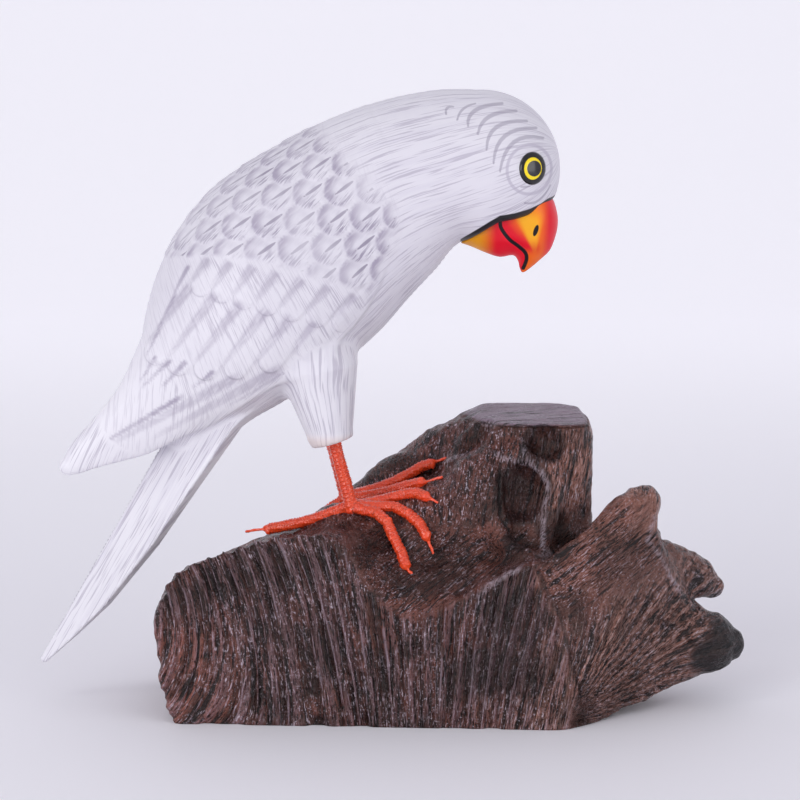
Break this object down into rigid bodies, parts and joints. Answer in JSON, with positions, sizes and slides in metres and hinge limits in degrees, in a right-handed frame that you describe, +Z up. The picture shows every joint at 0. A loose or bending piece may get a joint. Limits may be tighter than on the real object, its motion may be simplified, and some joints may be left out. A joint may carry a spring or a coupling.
{
  "type": "wooden bird carving",
  "caption": "Carved and painted wooden parrot that stands head down on wire-wrapped feet upon a natural root-wood block.",
  "frame": {"origin": "on the flat underside of the root-wood block, below the bird's body", "axes": "+X towards the bird's beak, +Z up, -Y towards the side that the picture shows"},
  "size_m": [0.3219, 0.1083, 0.2768],
  "materials": {
    "painted_wood": "carved wood, satin off-white paint with grey brush strokes; beak and eyes painted",
    "red_lacquer": "wrapped wire under glossy red-orange lacquer",
    "root_wood": "dark stained and varnished root wood, chiselled in front"
  },
  "bodies": {
    "root": {"bird": "painted_wood", "leg_right": "red_lacquer", "leg_left": "red_lacquer", "base": "root_wood"}
  },
  "joints": []
}
